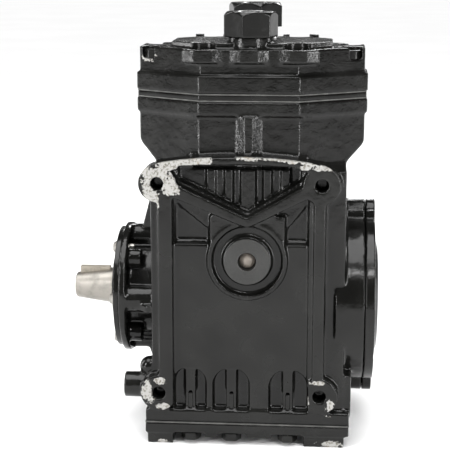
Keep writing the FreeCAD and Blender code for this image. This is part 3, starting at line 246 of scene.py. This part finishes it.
def bare_steel(name, colour, rough, groove=None, stain=0.25):
    """Machined metal. groove is the noise stretch that makes tool marks, and stain how dark it blotches."""
    graph = Graph(name, metallic=1.0)
    blotch = graph.noise(9 * MM, 4, 0.6)
    marks = graph.noise(0.5 * MM, 2, 0.5, groove) if groove else graph.noise(0.8 * MM, 3, 0.6)
    dark = tuple(0.55 * part for part in colour[:3]) + (1.0,)
    darkened = graph.span(blotch, 0.45, 0.75, first=0.0, last=stain + 0.3)
    graph.set("Base Color", graph.mix(darkened, colour, dark))
    graph.set("Roughness", graph.span(blotch, 0.3, 0.7, rough, rough + 0.14))
    graph.set("Normal", graph.bump(marks, 0.08 * MM, 0.55))
    return graph.material


def plain(name, colour, rough, grain=1.2 * MM, depth=0.12 * MM):
    """A small part's own finish, with a fine grain and uneven colour."""
    graph = Graph(name)
    light = tuple(min(1.0, 1.5 * part + 0.01) for part in colour[:3]) + (1.0,)
    grit = graph.noise(grain, 4, 0.6)
    graph.set("Base Color", graph.mix(graph.span(graph.noise(8 * grain, 3), 0.35, 0.7), colour, light))
    graph.set("Roughness", graph.span(grit, 0.3, 0.7, rough, min(1.0, rough + 0.15)))
    graph.set("Normal", graph.bump(grit, depth, 0.6))
    return graph.material


# ---------------------------------------------------------------- where the paint has worn

def side_holes():
    """The four holes of the near side: {(end, level): point}, with end and level each -1 or 1."""
    item = mount("side_near")
    centre = Vector(item["pos_m"])
    half_x = item["dims"]["spacing_x_mm"] * MM / 2
    half_z = item["dims"]["spacing_y_mm"] * MM / 2
    return {(end, level): centre + Vector((end * half_x, 0, level * half_z))
            for end in (-1, 1) for level in (-1, 1)}


def patch(point, dx, dz, reach_x, reach_z, reach_y=6.0):
    """A worn area at an offset from a point: its centre, and its reach each way. The numbers are in mm."""
    centre = point + Vector((dx, 0, dz)) * MM
    return tuple(centre), (reach_x * MM, reach_y * MM, reach_z * MM)


def case_wear():
    holes = side_holes()
    top_left, top_right = holes[(-1, 1)], holes[(1, 1)]
    low_left, low_right = holes[(-1, -1)], holes[(1, -1)]
    patches = [
        patch(top_left, -1, 5, 17, 13), patch(top_left, -4, -8, 9, 16), patch(top_left, 9, -1, 10, 12),
        patch(top_left, 14, 13, 17, 8), patch(top_left, 28, 15, 14, 5),
        patch(top_left, -8, 10, 9, 9), patch(top_right, 1, 11, 12, 3.6), patch(top_right, -11, 11, 9, 3.2),
        patch(low_left, -7, 2, 7, 15), patch(low_left, 4, -9, 8, 4), patch(low_left, 1, 8, 7, 4),
        patch(low_right, 0, 9, 10, 3.4), patch(low_right, 7, -6, 5, 7), patch(low_right, -8, -3, 3.5, 7),
        patch(low_right, 5, -14, 11, 3),
    ]
    for hole in holes.values():
        far_boss = Vector((hole.x, -hole.y, hole.z))
        patches.append(patch(far_boss, -3, 5, 11, 10))
        patches.append(patch(far_boss, 6, -7, 8, 6))
    return patches


def base_wear():
    low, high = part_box("base_plate")
    return [patch(Vector((high[0] - 12 * MM, low[1], low[2])), 0, 2, 14, 5),
            patch(Vector((low[0] + 10 * MM, low[1], low[2])), 0, 1, 8, 4)]


def head_wear():
    low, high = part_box("cylinder_head")
    return [patch(Vector((low[0] + 9 * MM, -14 * MM, high[2])), 0, -27, 9, 5, reach_y=22),
            patch(Vector((high[0] - 9 * MM, 10 * MM, high[2])), 0, -27, 7, 4, reach_y=16)]


# ---------------------------------------------------------------- each node's finish

STEEL = (0.27, 0.255, 0.23, 1.0)
BRIGHT = (0.30, 0.29, 0.27, 1.0)
KEY_STEEL = (0.34, 0.31, 0.26, 1.0)
BRASS = (0.72, 0.55, 0.25, 1.0)
ALUMINIUM = (0.6, 0.6, 0.61, 1.0)
SPRING_STEEL = (0.36, 0.36, 0.39, 1.0)
FIBRE = (0.05, 0.05, 0.047, 1.0)
CARBON = (0.02, 0.02, 0.022, 1.0)
INSERT = (0.11, 0.095, 0.08, 1.0)
PLUG_DARK = (0.010, 0.010, 0.0095, 1.0)
PLUG_LIGHT = (0.022, 0.022, 0.020, 1.0)
# Noise stretched so that its marks run around a part turned on X, or around one bored on Z.
TURNED_X = (40.0, 1.0, 1.0)
ACROSS_Z = (1.0, 1.0, 40.0)


def plug_paint():
    """Satin paint with the marks of the facing tool in rings round the plug."""
    graph = Graph("plug_finish")
    offset = graph.add("ShaderNodeVectorMath", operation="SUBTRACT")
    graph.feed(offset.inputs[0], graph.place)
    offset.inputs[1].default_value = plug_centre(0)
    flat = graph.add("ShaderNodeVectorMath", operation="MULTIPLY")
    graph.feed(flat.inputs[0], offset.outputs[0])
    flat.inputs[1].default_value = (1, 0, 1)
    radius = graph.add("ShaderNodeVectorMath", operation="LENGTH")
    graph.feed(radius.inputs[0], flat.outputs[0])
    ring_pitch = 0.55 * MM
    rings = graph.calc("SINE", graph.calc("MULTIPLY", radius.outputs["Value"], 2 * math.pi / ring_pitch))
    grit = graph.noise(0.9 * MM, 3)
    graph.set("Base Color", graph.mix(graph.span(grit, 0.3, 0.7), PLUG_DARK, PLUG_LIGHT))
    graph.set("Roughness", graph.span(grit, 0.3, 0.7, first=0.36, last=0.5))
    height = graph.calc("ADD", rings, graph.calc("MULTIPLY", grit, 2.0))
    graph.set("Normal", graph.bump(height, 0.04 * MM, 0.5))
    return graph.material


def finishes():
    """Material by slot of the record. Nodes of one slot share a finish unless OWN says otherwise."""
    return {
        "painted_casting": gloss_paint("case_paint", 0.5, case_wear(), smooth_below=138 * MM,
                                       extra=arch_wear),
        "painted_head": gloss_paint("head_paint", 0.4, head_wear()),
        "painted_cover": gloss_paint("cover_paint", 0.16),
        "painted_plate": gloss_paint("plate_paint", 0.12),
        "painted_seal_plate": gloss_paint("seal_plate_paint", 0.2),
        "cap_black": gloss_paint("cap_paint", 0.05),
        "plug_paint": plug_paint(),
        "cast_iron": bare_steel("honed_iron", grey(0.3), 0.3, ACROSS_Z),
        "dark_fastener": gloss_paint("fastener_paint", 0.14),
        "plated_fastener": bare_steel("plated_steel", BRIGHT, 0.3),
        "machined_steel": bare_steel("turned_steel", STEEL, 0.27, TURNED_X, stain=0.3),
        "key_steel": bare_steel("key_steel", KEY_STEEL, 0.46, stain=0.5),
        "bearing_steel": bare_steel("bearing_steel", grey(0.72), 0.12, TURNED_X, stain=0.0),
        "cage_brass": bare_steel("cage_brass", BRASS, 0.3),
        "cast_aluminium": bare_steel("cast_aluminium", ALUMINIUM, 0.42),
        "spring_steel": bare_steel("spring_steel", SPRING_STEEL, 0.24),
        "seal_rubber": plain("seal_rubber", grey(0.015), 0.6),
        "gasket_fibre": plain("gasket_fibre", FIBRE, 0.75, grain=0.7 * MM),
        "seat_iron": bare_steel("seat_iron", grey(0.36), 0.22, TURNED_X),
        "carbon": plain("lapped_carbon", CARBON, 0.35, grain=0.5 * MM, depth=0.04 * MM),
    }


# Nodes whose finish is not their slot's.
OWN = {"base_plate": lambda: gloss_paint("base_paint", 0.34, base_wear())}


def paint_nodes():
    by_slot = finishes()
    for part in frame["record"]["subparts"]:
        name = part["node"]
        material = OWN[name]() if name in OWN else by_slot[part["material_slot"]]
        item = NODES[name]
        if not item.material_slots:
            item.data.materials.append(material)
        for slot in item.material_slots:
            slot.link = "OBJECT"
            slot.material = material


# ---------------------------------------------------------------- cast and worked edges

# Grid in millimetres and rounds of smoothing that give each visible node its soft edges.
SOFT = {
    "crankcase": (0.85, 5), "cylinder_head": (0.7, 4), "base_plate": (0.8, 4), "rear_bearing_cover": (0.6, 3),
    "valve_plate": (0.6, 1), "suction_port_cap": (0.3, 4), "discharge_port_cap": (0.3, 4),
    "oil_filler_plug": (0.3, 2), "base_plate_bolts": (0.3, 3), "head_bolts": (0.4, 2),
    "seal_plate": (0.45, 2), "seal_plate_screws": (0.25, 2), "rear_cover_screws": (0.3, 2),
}
# The deepest dip of each cast skin, in millimetres.
CAST = {"crankcase": 0.28, "cylinder_head": 0.25, "base_plate": 0.25}


def soften():
    """Rounds the edges that a casting or a painted part has, and makes cast skins a little uneven."""
    skin = bpy.data.textures.new("cast_skin", "CLOUDS")
    skin.noise_scale = 6 * MM
    skin.noise_depth = 3
    for name, (grid, rounds) in SOFT.items():
        item = NODES[name]
        remesh = item.modifiers.new("Grid", "REMESH")
        remesh.mode = "VOXEL"
        remesh.voxel_size = grid * MM
        remesh.use_smooth_shade = True
        smooth = item.modifiers.new("Rounding", "SMOOTH")
        smooth.factor = 0.5
        smooth.iterations = rounds
        if name in CAST:
            uneven = item.modifiers.new("Cast skin", "DISPLACE")
            uneven.texture = skin
            uneven.texture_coords = "LOCAL"
            uneven.strength = CAST[name] * MM
            uneven.mid_level = 1.0


INSERT_RADIUS = 5.0 * MM
INSERT_RISE = 2.2 * MM


def dome_ring(mesh, centre, share, steps):
    """A ring of the insert's dome at a share of its radius, with the notch cut into its lower edge."""
    notch_depth, notch_half_angle, bottom = 0.75 * MM, 0.35, 1.5 * math.pi
    ring = []
    for step in range(steps):
        turn = 2 * math.pi * step / steps
        notch = notch_depth * max(0.0, 1 - abs(turn - bottom) / notch_half_angle) * share ** 3
        out = Vector((INSERT_RADIUS * share * math.cos(turn), notch - INSERT_RISE * (1 - share ** 2),
                      INSERT_RADIUS * share * math.sin(turn)))
        ring.append(mesh.verts.new(centre + out))
    return ring


def join_rings(mesh, one, two):
    """Faces between two rings. A ring of one point makes a fan."""
    for step in range(len(two)):
        after = (step + 1) % len(two)
        if len(one) == 1:
            mesh.faces.new((one[0], two[step], two[after]))
        else:
            mesh.faces.new((one[step], two[step], two[after], one[after]))


def add_plug_insert():
    """The domed insert at the bottom of the oil plug's socket, with a small notch in its lower edge."""
    socket_depth, skirt, rings, steps = 4.6 * MM, 1.2 * MM, 10, 48
    centre = plug_centre(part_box("oil_filler_plug")[0][1] + socket_depth)
    mesh = bmesh.new()
    last = [mesh.verts.new(centre + Vector((0, -INSERT_RISE, 0)))]
    for ring in range(1, rings + 1):
        circle = dome_ring(mesh, centre, ring / rings, steps)
        join_rings(mesh, last, circle)
        last = circle
    back = [mesh.verts.new(vert.co + Vector((0, skirt, 0))) for vert in last]
    join_rings(mesh, last, back)
    mesh.faces.new(list(reversed(back)))
    bmesh.ops.recalc_face_normals(mesh, faces=mesh.faces)
    for face in mesh.faces:
        face.smooth = True
    data = bpy.data.meshes.new("oil_plug_insert")
    mesh.to_mesh(data)
    mesh.free()
    data.materials.append(plain("insert_finish", INSERT, 0.45, grain=0.8 * MM))
    insert = bpy.data.objects.new("oil_plug_insert", data)
    bpy.context.scene.collection.objects.link(insert)
    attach(insert, "housing")


# ---------------------------------------------------------------- stage

def add_floor():
    half = 16.0
    corners = [(-half, -half, 0), (half, -half, 0), (half, half, 0), (-half, half, 0)]
    mesh = bpy.data.meshes.new("floor")
    mesh.from_pydata(corners, [], [(0, 1, 2, 3)])
    floor = bpy.data.objects.new("floor", mesh)
    bpy.context.scene.collection.objects.link(floor)
    graph = Graph("floor_white")
    graph.set("Base Color", graph.mix(graph.span(graph.noise(0.3), 0.3, 0.7), grey(0.9), grey(0.93)))
    graph.set("Roughness", 0.8)
    mesh.materials.append(graph.material)


# Each soft box's place, its width and height, and its watts. All of them face LIT.
LIT = Vector((0, 0, 0.15))
SOFT_BOXES = {
    "left_box": ((-0.9, -0.75, 0.42), (0.10, 0.9), 12.0),
    "right_box": ((0.80, -0.88, 0.40), (0.10, 0.9), 10.0),
    "left_rim": ((-1.2, 0.25, 0.45), (0.12, 0.9), 7.0),
    "right_rim": ((1.2, 0.35, 0.45), (0.12, 0.9), 7.0),
    "front_box": ((0.30, -1.2, 1.3), (0.6, 0.09), 7.0),
    "back_box": ((0.2, 1.3, 0.9), (0.9, 0.2), 9.0),
}


def add_softbox(name, place, size, watts):
    light = bpy.data.lights.new(name, "AREA")
    light.shape = "RECTANGLE"
    light.size, light.size_y = size
    light.energy = watts
    item = bpy.data.objects.new(name, light)
    item.location = place
    item.rotation_euler = (LIT - Vector(place)).to_track_quat("-Z", "Y").to_euler()
    bpy.context.scene.collection.objects.link(item)


def add_sun():
    """A broad even light from above, for the floor."""
    strength, spread, tilt_x, tilt_y = 3.3, math.radians(50), math.radians(8), math.radians(-6)
    light = bpy.data.lights.new("above", "SUN")
    light.energy = strength
    light.angle = spread
    item = bpy.data.objects.new("above", light)
    item.rotation_euler = (tilt_x, tilt_y, 0)
    bpy.context.scene.collection.objects.link(item)


def add_world():
    world = bpy.data.worlds.new("studio")
    world.use_nodes = True
    sky = world.node_tree.nodes["Background"]
    sky.inputs["Color"].default_value = grey(1)
    sky.inputs["Strength"].default_value = 0.10
    bpy.context.scene.world = world


def add_lights():
    """Tall narrow boxes for crisp lines on the gloss, wide ones in front and behind, the sun and the sky."""
    for name, (place, size, watts) in SOFT_BOXES.items():
        add_softbox(name, place, size, watts)
    add_sun()
    add_world()


def add_camera():
    """Looks down at the near mounting face, from a little towards the rear cover."""
    focal, sensor = 104.0, 36.0
    azimuth, elevation, distance = math.radians(4.5), math.radians(12.0), 0.80
    target = Vector((-8.5 * MM, FACE_Y, 145 * MM))
    back = Vector((math.sin(azimuth) * math.cos(elevation), -math.cos(azimuth) * math.cos(elevation),
                   math.sin(elevation)))
    lens = bpy.data.cameras.new("camera")
    lens.lens, lens.sensor_width = focal, sensor
    lens.clip_start = 0.01
    camera = bpy.data.objects.new("camera", lens)
    camera.location = target + distance * back
    camera.rotation_euler = (-back).to_track_quat("-Z", "Y").to_euler()
    bpy.context.scene.collection.objects.link(camera)
    bpy.context.scene.camera = camera


add_camera()
add_floor()
add_lights()
paint_nodes()
soften()
add_plug_insert()
bpy.context.scene.view_settings.view_transform = "Standard"
